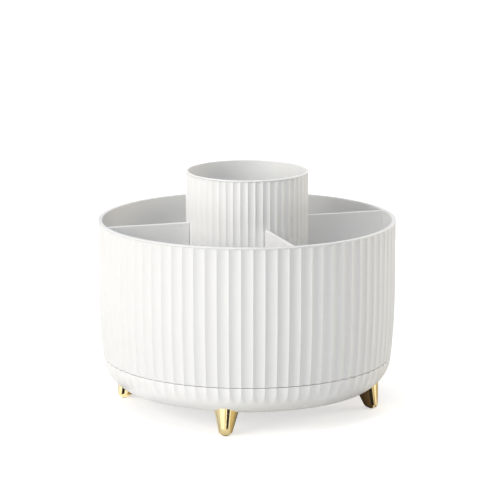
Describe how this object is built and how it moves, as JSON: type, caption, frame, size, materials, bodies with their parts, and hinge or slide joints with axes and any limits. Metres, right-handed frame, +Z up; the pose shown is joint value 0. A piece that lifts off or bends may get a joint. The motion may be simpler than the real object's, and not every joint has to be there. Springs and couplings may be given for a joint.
{
  "type": "rotating makeup organizer",
  "caption": "Round fluted white organizer whose open drum, divided around a raised centre cup, turns on a shallow base with splayed gold feet.",
  "frame": {"origin": "on the turning axis, in the plane of the pads under the feet that the organizer rests on", "axes": "+Z up along the turning axis; -Y is the side facing the camera in the picture, +X to its right"},
  "size_m": [0.211, 0.211, 0.1692],
  "materials": {
    "drum_plastic": "satin white moulded ABS",
    "divider_plastic": "satin white moulded sheet",
    "cup_plastic": "satin white moulded ABS",
    "base_plastic": "satin white moulded ABS",
    "foot_gold": "polished gold plating",
    "pad_rubber": "translucent soft pad",
    "race_steel": "zinc plated pressed steel",
    "ball_steel": "polished bearing steel",
    "cage_plastic": "moulded nylon",
    "bolt_steel": "zinc plated steel",
    "screw_steel": "zinc plated steel"
  },
  "bodies": {
    "base": {"base_shell": "base_plastic", "foot_1": "foot_gold", "foot_2": "foot_gold", "foot_3": "foot_gold", "foot_4": "foot_gold", "foot_pad_1": "pad_rubber", "foot_pad_2": "pad_rubber", "foot_pad_3": "pad_rubber", "foot_pad_4": "pad_rubber", "foot_screws": "screw_steel", "lower_race": "race_steel", "lower_race_screws": "screw_steel"},
    "bearing": {"ball_cage": "cage_plastic", "bearing_balls": "ball_steel"},
    "drum": {"drum_shell": "drum_plastic", "divider_1": "divider_plastic", "divider_2": "divider_plastic", "divider_3": "divider_plastic", "divider_4": "divider_plastic", "upper_race": "race_steel", "upper_race_screws": "screw_steel", "centre_bolt": "bolt_steel"},
    "cup": {"centre_cup": "cup_plastic"}
  },
  "joints": [
    {"name": "drum_turn", "type": "hinge", "parent": "base", "child": "drum", "pos_m": [0, 0, 0], "axis": [0, 0, 1], "continuous": true},
    {"name": "bearing_turn", "type": "hinge", "parent": "base", "child": "bearing", "pos_m": [0, 0, 0], "axis": [0, 0, 1], "continuous": true},
    {"name": "cup_lift", "type": "slide", "parent": "drum", "child": "cup", "axis": [0, 0, 1], "range_m": [0, 0.1]}
  ],
  "couplings": [
    {"joint": "bearing_turn", "follows": "drum_turn", "ratio": 0.5}
  ]
}
